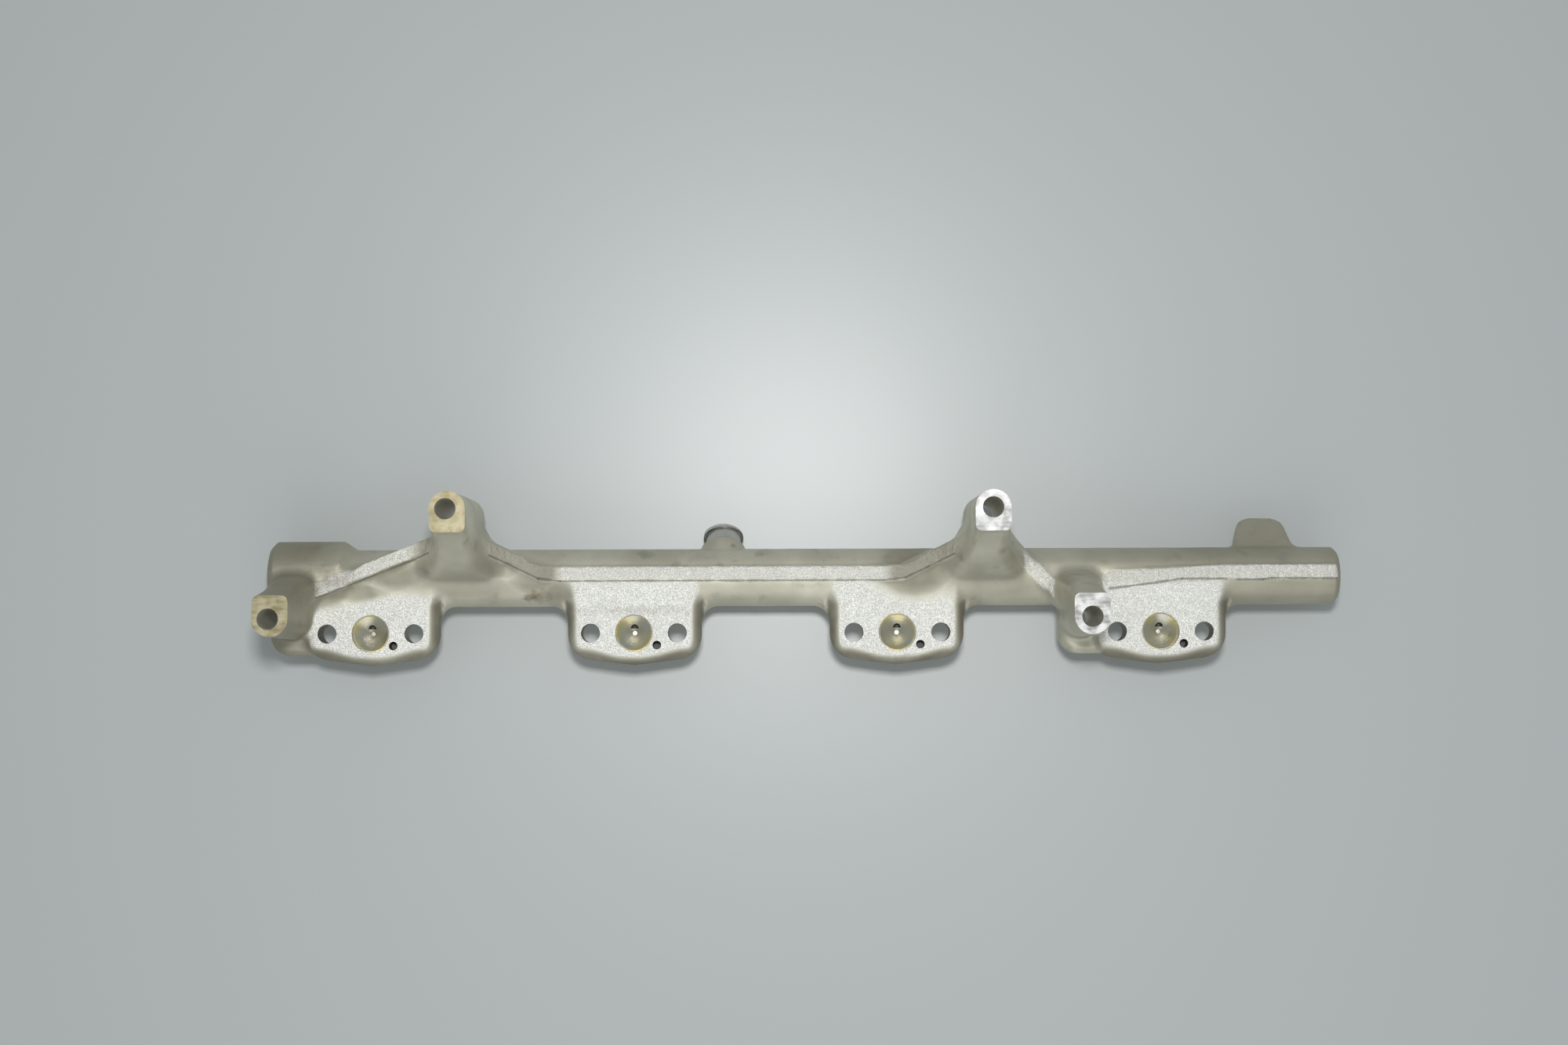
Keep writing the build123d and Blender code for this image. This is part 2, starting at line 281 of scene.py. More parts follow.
def beside_feet(places):
    """1 around the flanks of the feet, 0 elsewhere."""
    near = np.zeros(len(places))
    for foot in feet:
        away = np.abs(places[:, 0] - foot.x)
        near = np.maximum(near, np.clip((30 - away) / 6, 0, 1))
    return near * np.clip((places[:, 2] - (AXIS.z + 5.5)) / 2, 0, 1)


def before_rear_feet(places):
    """1 on the front of the two rear feet, low down where they run into the tube."""
    along, forward, height = places[:, 0], -places[:, 1], places[:, 2]
    near = np.zeros(len(places))
    for x in REAR_FEET:
        near = np.maximum(near, smooth_step(-np.abs(along - x), -18.0, -13.0))
    near *= smooth_step(forward, 13.0, 16.0) * (1 - smooth_step(forward, 31.0, 35.0))
    return near * (1 - smooth_step(height, -22.0, -15.0))


# %% Soften the corners
SOFT_LEVELS = 10


def soften(piece, name, spread, repeat, region):
    """Smooth the hollow corners of a piece within a region."""
    weight = hollow_weight(piece, spread) * region(mesh_arrays(piece)[0] / MM)
    weigh_points(piece, name, weight, SOFT_LEVELS)
    apply_modifier(piece, "SMOOTH", factor=0.5, iterations=repeat, vertex_group=name)
    piece.vertex_groups.clear()


apply_modifier(blank, "SMOOTH", factor=0.5, iterations=3)
soften(blank, "corners", 3, 16, everywhere)
soften(blank, "flanks", 12, 110, beside_feet)
soften(blank, "flanks_again", 10, 60, beside_feet)
soften(blank, "fronts", 20, 220, before_rear_feet)
print("softened")

# %% [markdown]
# ## Hollows beside the ribs
# The feet run down into the tube through shallow hollows, which lie between the ribs and the pads.
# They are pressed into the skin here, and the same list makes them dull and paints shade into them
# further down.

# %% Lines of the ribs
RIB_LINES = [
    [(-149.5, -36.4), (-140.5, -26.3), (-91.0, -6.3)],
    [(-91.0, -6.3), (-62.0, -20.3), (62.0, -20.3), (91.0, -6.3)],
    [(91.0, 0.0), (123.5, -36.4)],
    [(134.0, -23.0), (174.0, -20.3), (214.3, -20.3)],
]


def line_distance(plan, line):
    """Distance in plan from each place to a line of straight runs."""
    best = np.full(len(plan), np.inf)
    for start, end in zip(line[:-1], line[1:]):
        start, run = np.array(start), np.array(end) - np.array(start)
        share = np.clip(((plan - start) @ run) / (run @ run), 0, 1)
        best = np.minimum(best, np.linalg.norm(plan - start - share[:, None] * run, axis=1))
    return best


def rib_distance(plan):
    """Distance in plan from each place to the nearest rib, in millimetres."""
    return np.min([line_distance(plan, line) for line in RIB_LINES], axis=0)


# %% Press the hollows
HOLLOW_DEPTH = 0.9
HOLLOWS = [  # middle, reach along and across the rail, and share of the full depth
    ((67.0, -19.0), (16.8, 12.0), 0.8),
    ((-66.0, -23.0), (11.0, 4.5), 0.6),
    ((86.0, -25.0), (9.0, 9.0), 0.5),
    ((74.0, -18.5), (10.0, 5.0), 0.5),
    ((-77.0, -18.5), (10.0, 5.0), 0.6),
    ((102.0, -15.5), (6.0, 10.0), 0.4),
    ((118.0, -28.5), (5.5, 8.0), 0.6),
    ((-57.0, -27.0), (6.0, 4.5), 0.6),
    ((91.0, -25.0), (26.0, 6.0), 0.45),
    ((-91.0, -24.5), (26.0, 5.5), 0.45),
    ((-133.0, -26.5), (18.0, 3.8), 0.55),
    ((-112.0, -21.0), (15.0, 5.5), 0.65),
]


def hollow_share(plan):
    """How much of a hollow each place in plan has, outside the crests of the ribs."""
    deep = np.zeros(len(plan))
    for middle, reach, share in HOLLOWS:
        away = np.linalg.norm((plan - np.array(middle)) / np.array(reach), axis=1)
        deep = np.maximum(deep, share * smooth_step(-away, -1.2, -0.4))
    return deep * smooth_step(rib_distance(plan), 2.4, 3.6)


places = mesh_arrays(blank)[0] / MM
pressed = hollow_share(places[:, :2])
pressed *= smooth_step(places[:, 2], PAD_FACE - 7, PAD_FACE - 2)
pressed *= 1 - smooth_step(places[:, 2], PAD_FACE + 1, PAD_FACE + 8)
places[:, 2] -= HOLLOW_DEPTH * pressed
move_points(blank, places)
print("deepest hollow:", round(float(HOLLOW_DEPTH * pressed.max()), 2), "mm")

# %% [markdown]
# ## Rolled edges of the pads
# The face of each pad isn't flat to its edge: below the seat and at both sides it rolls over in a
# wide curve, because the die needs draft there. Points past the start of the roll sink as on a
# round bar, and those of the side below them sink less and less.

# %% Measure from the seats
ROLL_MIDDLE, ROLL_SIDE = -47.9, -44.7  # Y where the roll starts, at a seat and at its clamp holes
ROLL_WIDE = 18.8  # and how far from the seat it starts at the sides


def seat_distance(along):
    """Distance along the rail to the nearest seat."""
    return np.min([np.abs(along - seat) for seat in SEATS], axis=0)


def past_flat(plan):
    """How far each place lies past the flat part of its pad, in millimetres."""
    away = seat_distance(plan[:, 0])
    start = ROLL_MIDDLE + (ROLL_SIDE - ROLL_MIDDLE) * smooth_step(away, 3.0, 18.0)
    below = np.clip(start - plan[:, 1], 0, None)
    beside = np.clip(away - ROLL_WIDE, 0, None) * smooth_step(-plan[:, 1], 27.0, 32.0)
    beside *= 1 - smooth_step(away, 23.7, 26.0)
    near_foot = np.min([np.abs(plan[:, 0] - x) for x in FRONT_FEET], axis=0)
    return np.hypot(below, beside) * smooth_step(near_foot, 6.5, 9.0)


# %% Roll the edges over
ROLL_RADIUS, ROLL_DEPTH = 5.6, 7.0
ROLL_LIMIT = 0.85  # share of the radius at which the curve stops steepening

places = mesh_arrays(blank)[0] / MM
past = np.clip(past_flat(places[:, :2]), 0, ROLL_LIMIT * ROLL_RADIUS)
past *= 1 - smooth_step(places[:, 2], PAD_FACE + 0.5, PAD_FACE + 2.0)
sink = ROLL_RADIUS - np.sqrt(ROLL_RADIUS**2 - past**2)
sink *= np.clip((places[:, 2] - (PAD_FACE - ROLL_DEPTH)) / ROLL_DEPTH, 0, 1)
places[:, 2] -= sink
move_points(blank, places)
print("deepest roll:", round(float(sink.max()), 2), "mm")

# %% [markdown]
# ## Rough skin
# A worn die and the blasting leave the skin slightly uneven, and trimming leaves the crest of the
# ribs torn and grainy. A Displace modifier with a cloudy texture moves the points themselves, so
# the unevenness is in the mesh and not only in the shading. The even skin has far more triangles
# than such soft forms need, so a Decimate modifier then takes most of them away.

# %% Roughness of the die and of the trimmed crest
CREST_REACH = 3.0
CREST_GRAIN, CREST_ROUGHNESS = 1.3, 0.42  # size and height of the pattern, in millimetres
SKIN_GRAIN, SKIN_ROUGHNESS = 7.0, 0.16
ROUGH_LEVELS = 5


def displace(piece, name, weight, size, strength):
    """Raise and lower the skin by a cloudy pattern, where a weight says so."""
    weigh_points(piece, name, weight, ROUGH_LEVELS)
    pattern = bpy.data.textures.new(name, "CLOUDS")
    pattern.noise_scale = size * MM
    apply_modifier(
        piece, "DISPLACE", texture=pattern, texture_coords="LOCAL", strength=strength * MM,
        mid_level=0.5, vertex_group=name,
    )
    piece.vertex_groups.clear()


points, normals, _ = mesh_arrays(blank)
places = points / MM
crest_weight = np.clip((CREST_REACH - rib_distance(places[:, :2])) / 0.8, 0, 1)
crest_weight *= np.clip(normals[:, 2] * 4 - 2.4, 0, 1)
crest_weight *= np.clip(places[:, 2] - (PAD_FACE - 0.6), 0, 1)
displace(blank, "crest", crest_weight, CREST_GRAIN, CREST_ROUGHNESS)
displace(blank, "skin", np.ones(len(places)), SKIN_GRAIN, SKIN_ROUGHNESS)
print("roughened")

# %% Fewer triangles
KEPT_SHARE = 0.3
apply_modifier(blank, "DECIMATE", ratio=KEPT_SHARE)
print("after decimation:", len(blank.data.polygons), "triangles")

# %% [markdown]
# ## Machining
# Every machined place is cut again with a cutter that has its exact size. All the cutters go into
# one collection for a single cut, which is steadier than joining them first. The faces they leave
# take the cutter's own material, so a turned seat or a milled foot gets its finish from the cut
# itself.

# %% Finishes, still empty
def new_material(name):
    """A material that the cells on finishes fill in later."""
    material = bpy.data.materials.new(name)
    material.use_nodes = True
    return material


forged = new_material("forged_steel")
turned = new_material("turned_seat")
milled_left = new_material("milled_foot_golden")
milled_right = new_material("milled_foot_bright")
drilled = new_material("drilled_bore")
bolt_hole_lit = new_material("bolt_hole_lit")
shaded_small_hole = new_material("shaded_small_hole")
threaded = new_material("rolled_thread")
blank.data.materials.clear()
blank.data.materials.append(forged)
print("finishes to fill in:", [material.name for material in bpy.data.materials])

# %% Cutters and cuts
tools = []


def finish_with(cutter, material):
    """Give a cutter the finish that it leaves behind."""
    cutter.data.materials.clear()
    cutter.data.materials.append(material)
    return cutter


def add_tool(material, *size, **options):
    """Add a round cutter with its finish to the tools."""
    tools.append(finish_with(rod(*size, **options), material))


def combine(first, second, how):
    """Join two closed pieces, or cut the second out of the first, and keep their finishes."""
    apply_modifier(
        first, "BOOLEAN", object=second, operation=how, solver="EXACT", material_mode="TRANSFER"
    )
    bpy.data.objects.remove(second, do_unlink=True)


# %% Mill the feet
MILLING_BLOCK = (17, 21, 10)


def milling_block(place):
    """A block whose lower face is the milled end of a foot."""
    middle = over(place, MILLING_BLOCK[2] / 2) * MM
    bpy.ops.object.select_all(action="DESELECT")
    bpy.ops.mesh.primitive_cube_add(size=1, location=middle)
    block = bpy.context.object
    block.scale = [length * MM for length in MILLING_BLOCK]
    apply_place(block)
    return block


for place, finish in zip(feet, (milled_left, milled_right, milled_left, milled_right)):
    tools.append(finish_with(milling_block(place), finish))
print("milling blocks:", len(tools))

# %% Drill the feet and the clamp holes
FOOT_HOLE, SPOT_FACE, CLAMP_HOLE, DOWEL_HOLE = 3.55, 6.2, 3.3, 1.5  # radii
FOOT_BACK = AXIS.z - 1.4  # the spot face behind each foot
DRILL_START = 3  # height over a pad's face

for place in feet:
    back = over(place, FOOT_BACK)
    add_tool(bolt_hole_lit, FOOT_HOLE, over(place, -60), over(place, 1))
    add_tool(drilled, SPOT_FACE, over(back, -8), back)
for seat in SEATS:
    for side in CLAMP_SIDES:
        hole = on_pad(seat, side)
        add_tool(drilled, CLAMP_HOLE, over(hole, -12), over(hole, DRILL_START))
    dowel = on_pad(seat, DOWEL_ALONG, DOWEL_ACROSS)
    add_tool(shaded_small_hole, DOWEL_HOLE, over(dowel, -6), over(dowel, DRILL_START), sides=32)
print("tools so far:", len(tools))

# %% Turn the seats and drill up to the bore
SEAT_PROFILE = [  # radius and height over the face, from the drill point up to the mouth
    (0.7, -5.9), (0.95, -5.1), (2.2, -4.3), (5.7, -1.1),
    (6.0, -1.0), (6.0, -0.5), (6.5, 0.0), (6.9, 0.4),
]
PASSAGE = 1.45
PASSAGE_WAY = Vector((0.0, -17.8, 4.9))


def turned_cutter(place, profile):
    """A closed round form with its axis upright: a disc, raised and widened step by step."""
    radius, height = profile[0]
    bpy.ops.object.select_all(action="DESELECT")
    bpy.ops.mesh.primitive_circle_add(
        vertices=96, radius=radius * MM, fill_type="NGON", location=over(place, height) * MM
    )
    cutter = bpy.context.object
    apply_place(cutter)
    bpy.ops.object.mode_set(mode="EDIT")
    bpy.ops.mesh.select_all(action="SELECT")
    for next_radius, next_height in profile[1:]:
        rise = (0, 0, (next_height - height) * MM)
        bpy.ops.mesh.extrude_region_move(TRANSFORM_OT_translate={"value": rise})
        share = next_radius / radius
        centre = over(place, next_height) * MM
        bpy.ops.transform.resize(value=(share, share, 1.0), center_override=centre)
        radius, height = next_radius, next_height
    bpy.ops.mesh.select_all(action="SELECT")
    bpy.ops.mesh.normals_make_consistent(inside=False)
    bpy.ops.object.mode_set(mode="OBJECT")
    return cutter


for seat in SEATS:
    tools.append(finish_with(turned_cutter(on_pad(seat), SEAT_PROFILE), turned))
    add_tool(shaded_small_hole, PASSAGE, on_axis(seat), on_axis(seat) + PASSAGE_WAY, sides=32)
print("tools so far:", len(tools))

# %% Ream the bore, its port and the inlet
BORE, PORT, PORT_CHAMFER = 5.0, 6.0, 8.0  # radii
INLET_HOLE, INLET_CONE = 2.0, 4.7
THREAD_CORE, THREAD_RADIUS = 6.1, 7.0
ALONG = Vector((1, 0, 0))
RING_RADIUS = 10.0  # of the ring that turns the neck down to the core of the thread

head_end = on_axis(TUBE_LEFT)
add_tool(drilled, BORE, head_end - ALONG * 2, on_axis(TUBE_RIGHT - 12))
add_tool(drilled, PORT, head_end - ALONG * 2, head_end + ALONG * 13)
add_tool(drilled, PORT_CHAMFER, head_end - ALONG, head_end + ALONG, top_radius=PORT)
add_tool(drilled, INLET_HOLE, AXIS, AXIS + INLET_WAY * 25, sides=48)
cone_ends = mouth - INLET_WAY * 4.5, mouth + INLET_WAY * 0.1
add_tool(threaded, INLET_HOLE, *cone_ends, top_radius=INLET_CONE)
ring = finish_with(rod(RING_RADIUS, AXIS + INLET_WAY * NECK_END, mouth + INLET_WAY * 3), threaded)
core = finish_with(rod(THREAD_CORE, AXIS + INLET_WAY * 2, mouth + INLET_WAY * 6), threaded)
combine(ring, core, "DIFFERENCE")
tools.append(ring)
print("tools in all:", len(tools))

# %% One cut with all the tools
tool_box = bpy.data.collections.new("tools")
bpy.context.scene.collection.children.link(tool_box)
for tool in tools:
    for home in list(tool.users_collection):
        home.objects.unlink(tool)
    tool_box.objects.link(tool)
apply_modifier(
    blank, "BOOLEAN", operand_type="COLLECTION", collection=tool_box, operation="DIFFERENCE",
    solver="EXACT", material_mode="TRANSFER",
)
for tool in tools:
    bpy.data.objects.remove(tool, do_unlink=True)
bpy.data.collections.remove(tool_box)
print("machined:", len(blank.data.polygons), "faces")

# %% Gauge what was cut
def depth_at(place):
    """How far below a place a probe from above touches the rail, in millimetres."""
    hit, touched, _, _ = blank.ray_cast(over(place, 60) * MM, Vector((0, 0, -1)))
    return round(place.z - touched.z / MM, 2) if hit else "through"


for seat in SEATS:
    print("seat", seat, "depth at 4 mm:", depth_at(on_pad(seat, 4.0)), end=", ")
    print("clamp holes:", [depth_at(on_pad(seat, side)) for side in CLAMP_SIDES])
print("foot holes:", [depth_at(place) for place in feet])

# %% [markdown]
# ## Thread of the inlet
# The union nut of the fuel pipe screws onto this thread. A real thread is a ridge that climbs
# along a helix, so a small diamond is carried round by a Screw modifier, one pitch a turn.
# Trimming it with a chamfered rod gives the flat crest and the bevelled first turn of a rolled
# thread.

# %% Wind the ridge
TURNS, STEPS = 5, 48
THREAD_PITCH = 1.5
RIDGE_HEIGHT, RIDGE_WIDTH, RIDGE_RADIUS = 1.12, 0.72, 6.0
RIDGE_START = NECK_END + 0.2

bpy.ops.object.select_all(action="DESELECT")
bpy.ops.mesh.primitive_circle_add(vertices=4, radius=1.0)
thread = bpy.context.object
thread.name = "inlet_thread"
thread.rotation_euler = (math.pi / 2, 0, 0)
thread.scale = (RIDGE_HEIGHT * MM, RIDGE_WIDTH * MM, 1.0)
thread.location = (RIDGE_RADIUS * MM, 0, 0)
apply_place(thread)
apply_modifier(
    thread, "SCREW", axis="Z", angle=2 * math.pi, iterations=TURNS,
    screw_offset=THREAD_PITCH * MM, steps=STEPS, render_steps=STEPS,
    use_merge_vertices=True, merge_threshold=0.001 * MM,
)
only(thread)
bpy.ops.object.mode_set(mode="EDIT")
bpy.ops.mesh.select_all(action="SELECT")
bpy.ops.mesh.fill_holes(sides=4)
bpy.ops.mesh.normals_make_consistent(inside=False)
bpy.ops.object.mode_set(mode="OBJECT")
thread.rotation_euler = INLET_WAY.to_track_quat("Z", "Y").to_euler()
thread.location = (AXIS + INLET_WAY * RIDGE_START) * MM
apply_place(thread)
thread.data.materials.append(threaded)
print("ridge:", len(thread.data.polygons), "faces")

# %% Trim the ridge
CHAMFER_LENGTH, CHAMFER_RADIUS = 0.8, 6.2

shoulder = mouth - INLET_WAY * CHAMFER_LENGTH
trimmer = rod(THREAD_RADIUS, AXIS + INLET_WAY * (NECK_END - 0.2), shoulder)
chamfer = rod(THREAD_RADIUS, shoulder, mouth, top_radius=CHAMFER_RADIUS)
for form in (trimmer, chamfer):
    finish_with(form, threaded)
combine(trimmer, chamfer, "UNION")
combine(thread, trimmer, "INTERSECT")
print("thread:", len(thread.data.polygons), "faces")

# %% [markdown]
# ## Where the skin is bright, dull or shaded
# The dies press the pads and the crest of the ribs flat, and the trimming tool and the blasting
# leave them brighter than the rest; their brightness is partly a painted highlight, which fades as
# a face turns away from straight up. Where a rib climbs to a foot, its crest is only rough. The
# hollows and the rolled edges stay dull and get a painted shade. Three values on each face corner
# say how bright, how rough and how dull or shaded the skin is there, and the material reads them
# by name.

# %% Read the face corners
def corner_arrays(piece):
    """Place and normal of each face corner, with the place in millimetres."""
    mesh = piece.data
    count = len(mesh.loops)
    normals = np.zeros(count * 3)
    index = np.zeros(count, np.int64)
    mesh.corner_normals.foreach_get("vector", normals)
    mesh.loops.foreach_get("vertex_index", index)
    return mesh_arrays(piece)[0][index] / MM, normals.reshape(-1, 3)


def write_mark(piece, name, values):
    """Keep a value on each face corner under a name."""
    mark = piece.data.attributes.new(name, "FLOAT", "CORNER")
    mark.data.foreach_set("value", values.astype(np.float32))
    print(name, "share of the skin:", round(float(values.mean()), 3))


# %% Share of a flat pad
FIRST_PAD_EDGE = (-141.0, -31.3)  # the first pad ends at a slanting line that starts here
FIRST_PAD_RISE = (7.5, 42.0)  # and rises this much over that length
FIRST_PAD_RIGHT = -95


def pad_share(places, up):
    """1 on the flat faces of the pads."""
    plan, height = places[:, :2], places[:, 2]
    on_face = smooth_step(-seat_distance(plan[:, 0]), -23.5, -20.0)
    # The share fades as a face tilts away from straight up: a painted highlight from the lamp near
    # the camera.
    share = smooth_step(up, 0.62, 0.985) * smooth_step(-plan[:, 1], 21.5, 24.5) * on_face
    share *= smooth_step(height, PAD_FACE - 1.5, PAD_FACE - 0.4)
    share *= 1 - smooth_step(height, PAD_FACE + 0.3, PAD_FACE + 1.5)
    rise, length = FIRST_PAD_RISE
    edge = FIRST_PAD_EDGE[1] + (plan[:, 0] - FIRST_PAD_EDGE[0]) * rise / length
    share *= 1 - smooth_step(plan[:, 1] - edge, -4.0, 0.5) * (plan[:, 0] < FIRST_PAD_RIGHT)
    return share * (1 - smooth_step(past_flat(plan), 0.0, 2.4))


# %% Share of a trimmed crest
CREST_SHARE = 0.72  # the trimmed crest is duller than the pads
SLOPE_SHARE = 0.06  # and duller still where it climbs to a foot
LEVEL_RUNS = [  # where along the rail the crest is level
    (-139.0, -107.5), (-56.5, 56.5), (103.5, 116.5), (132.0, 213.0),
]


def level_share(along):
    """1 where the crest is level, 0 where it climbs, at places along the rail."""
    level = np.zeros(len(along))
    for start, end in LEVEL_RUNS:
        inside = smooth_step(along, start - 3.0, start + 2.0)
        inside *= 1 - smooth_step(along, end - 2.0, end + 4.0)
        level = np.maximum(level, inside)
    return level


def on_crest(places, up):
    """1 on the crests of the ribs."""
    height = places[:, 2]
    share = smooth_step(up, 0.60, 0.82) * smooth_step(-rib_distance(places[:, :2]), -2.9, -2.2)
    share *= smooth_step(height, PAD_FACE - 0.4, PAD_FACE + 0.2)
    return share * (1 - smooth_step(height, -22.0, -14.0))


# %% Share of the dull places and of the painted shade
def rolled_share(places):
    """1 on the rolled edges of the pads."""
    plan, height = places[:, :2], places[:, 2]
    share = smooth_step(past_flat(plan), 0.8, 3.6)
    share *= smooth_step(height, PAD_FACE - 11.0, PAD_FACE - 6.0)
    share *= 1 - smooth_step(height, PAD_FACE + 0.3, PAD_FACE + 1.5)
    return share * smooth_step(-seat_distance(plan[:, 0]), -24.5, -23.5)


def mark_skin(piece):
    """Give each face corner its share of the bright finish with its painted highlight, of the rough
    finish, and of the dull finish with its painted shade.
    """
    places, normals = corner_arrays(piece)
    up = normals[:, 2]
    # Painted shade: the hollows take the bright finish off the pads, and the dull share darkens the
    # hollows and the rolled edges. Where a crest climbs, its dullness is the real finish.
    hollow = hollow_share(places[:, :2]) * (1 - smooth_step(places[:, 2], -22.0, -12.0))
    pad = pad_share(places, up) * (1 - np.clip(2.0 * hollow, 0, 1))
    crest = on_crest(places, up)
    level = level_share(places[:, 0])
    bright = SLOPE_SHARE + (CREST_SHARE - SLOPE_SHARE) * level
    dull_and_shaded = np.maximum(rolled_share(places), hollow) * (1 - crest) + 0.6 * (1 - level) * crest
    write_mark(piece, "flat", np.maximum(pad, bright * crest))
    write_mark(piece, "crest", crest)
    write_mark(piece, "dull_and_shaded", dull_and_shaded)


# %% Shade and carry over
SMOOTH_ANGLE = math.radians(32)

for piece in (blank, thread):
    only(piece)
    bpy.ops.object.shade_smooth_by_angle(angle=SMOOTH_ANGLE)
    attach(piece, "root")
mark_skin(blank)
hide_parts("rail_body")
print("forging:", len(blank.data.polygons), "faces")

# %% [markdown]
# ## Finishes
# Each effect that several finishes share is a node group with named inputs: the grain that
# blasting leaves, a stain with a soft ragged edge, a fine line along a seam that carries a painted
# shadow, and the rings of a turning tool. A group gives out masks, values and normals, and the
# shader itself stays in the material.

# %% Nodes with values or links
def feed(tree, socket, value):
    """Link a value that comes from another node, or set the socket to a plain one."""
    if hasattr(value, "links"):
        tree.links.new(value, socket)
    else:
        socket.default_value = value


def add_node(tree, kind, **inputs):
    """Add a node and feed its inputs by name, where _ stands for a space."""
    node = tree.nodes.new(kind)
    for name, value in inputs.items():
        feed(tree, node.inputs[name.replace("_", " ")], value)
    return node


def do_math(tree, operation, *values):
    """A Math node between values or sockets."""
    node = tree.nodes.new("ShaderNodeMath")
    node.operation = operation
    for socket, value in zip(node.inputs, values):
        feed(tree, socket, value)
    return node.outputs[0]


def vector_math(tree, operation, *values, **named):
    """A Vector Math node between vectors. Some inputs are there only once its operation is set."""
    node = tree.nodes.new("ShaderNodeVectorMath")
    node.operation = operation
    for socket, value in zip(node.inputs, values):
        feed(tree, socket, value)
    for name, value in named.items():
        feed(tree, node.inputs[name], value)
    return node.outputs


def mix_colour(tree, share, first, second):
    """Mix two colours by a mask."""
    node = tree.nodes.new("ShaderNodeMix")
    node.data_type = "RGBA"
    colours = [socket for socket in node.inputs if socket.type == "RGBA"]
    for socket, value in zip([node.inputs["Factor"]] + colours, (share, first, second)):
        feed(tree, socket, value)
    return [socket for socket in node.outputs if socket.type == "RGBA"][0]


def ramp(tree, value, low, high, to_low=0.0, to_high=1.0):
    """Map a value's range onto another, held at both ends."""
    limits = {"From_Min": low, "From_Max": high, "To_Min": to_low, "To_Max": to_high}
    return add_node(tree, "ShaderNodeMapRange", Value=value, **limits).outputs["Result"]


# %% Places, noise and groups
def object_place(tree):
    """The object's own coordinates, in metres."""
    return tree.nodes.new("ShaderNodeTexCoord").outputs["Object"]


def noise(tree, scale, detail=2.0, stretch=None):
    """Noise over the object's own coordinates, in features a metre."""
    place = object_place(tree)
    if stretch:
        mapping = add_node(tree, "ShaderNodeMapping", Vector=place, Scale=stretch)
        place = mapping.outputs["Vector"]
    texture = add_node(tree, "ShaderNodeTexNoise", Vector=place, Scale=scale, Detail=detail)
    return texture.outputs["Fac"]


def new_group(name, inputs, outputs):
    """An empty node group with its sockets, its input node and its output node."""
    tree = bpy.data.node_groups.new(name, "ShaderNodeTree")
    for direction, sockets in (("INPUT", inputs), ("OUTPUT", outputs)):
        for socket, kind in sockets.items():
            tree.interface.new_socket(
                name=socket, in_out=direction, socket_type="NodeSocket" + kind
            )
    given = tree.nodes.new("NodeGroupInput").outputs
    return tree, given, tree.nodes.new("NodeGroupOutput").inputs


def place_group(tree, group, **inputs):
    """Place a group in a material with its own values."""
    node = tree.nodes.new("ShaderNodeGroup")
    node.node_tree = group
    for name, value in inputs.items():
        feed(tree, node.inputs[name], value)
    return node.outputs


# %% Grain of a blasted skin
COARSE_SCALE, GRAIN_HEIGHT = 600.0, 0.00035

grain_group, taken, given = new_group(
    "grain",
    {"Scale": "Float", "Depth": "Float", "Coarse": "Float"},
    {"Value": "Float", "Normal": "Vector"},
)
coarse = noise(grain_group, COARSE_SCALE, detail=3.0)
fine = noise(grain_group, taken["Scale"], detail=3.0)
both = do_math(
    grain_group, "ADD", do_math(grain_group, "MULTIPLY", coarse, taken["Coarse"]), fine
)
bump = add_node(
    grain_group, "ShaderNodeBump", Height=both, Strength=taken["Depth"], Distance=GRAIN_HEIGHT
)
grain_group.links.new(fine, given["Value"])
grain_group.links.new(bump.outputs["Normal"], given["Normal"])
print("group:", grain_group.name)

# %% A stain with a ragged edge
STAIN_SCALE, STAIN_RAGGED, STAIN_OFFSET = 420.0, 1.6, 0.5

stain_group, taken, given = new_group(
    "stain", {"Place": "Vector", "Reach": "Vector"}, {"Mask": "Float"}
)
off_middle = vector_math(
    stain_group, "SUBTRACT", object_place(stain_group), taken["Place"]
)["Vector"]
in_reaches = vector_math(stain_group, "DIVIDE", off_middle, taken["Reach"])["Vector"]
away = vector_math(stain_group, "LENGTH", in_reaches)["Value"]
cloudy = noise(stain_group, STAIN_SCALE, detail=4.0)
ragged = do_math(stain_group, "MULTIPLY_ADD", cloudy, STAIN_RAGGED, STAIN_OFFSET)
ragged_edge = do_math(stain_group, "ADD", away, ragged)
stain_group.links.new(ramp(stain_group, ragged_edge, 1.35, 2.1, 1.0, 0.0), given["Mask"])
print("group:", stain_group.name)

# %% A fine line between two points
WANDER_SCALE, WANDER = 260.0, 0.0009

seam_group, taken, given = new_group(
    "seam", {"Start": "Vector", "End": "Vector", "Width": "Float"}, {"Mask": "Float"}
)
in_plan = vector_math(seam_group, "MULTIPLY", object_place(seam_group), (1, 1, 0))["Vector"]
from_start = vector_math(seam_group, "SUBTRACT", in_plan, taken["Start"])["Vector"]
run = vector_math(seam_group, "SUBTRACT", taken["End"], taken["Start"])["Vector"]
along = do_math(
    seam_group, "DIVIDE",
    vector_math(seam_group, "DOT_PRODUCT", from_start, run)["Value"],
    vector_math(seam_group, "DOT_PRODUCT", run, run)["Value"],
)
held = ramp(seam_group, along, 0.0, 1.0)
on_line = vector_math(seam_group, "SCALE", run, Scale=held)["Vector"]
off_line = vector_math(seam_group, "SUBTRACT", from_start, on_line)["Vector"]
away = vector_math(seam_group, "LENGTH", off_line)["Value"]
uneven = do_math(seam_group, "SUBTRACT", noise(seam_group, WANDER_SCALE), 0.5)
wander = do_math(seam_group, "MULTIPLY", uneven, WANDER)
in_widths = do_math(
    seam_group, "DIVIDE", do_math(seam_group, "ADD", away, wander), taken["Width"]
)
seam_group.links.new(ramp(seam_group, in_widths, 0.4, 1.0, 1.0, 0.0), given["Mask"])
print("group:", seam_group.name)

# %% Rings of a turning tool
RING_HEIGHT = 0.0001

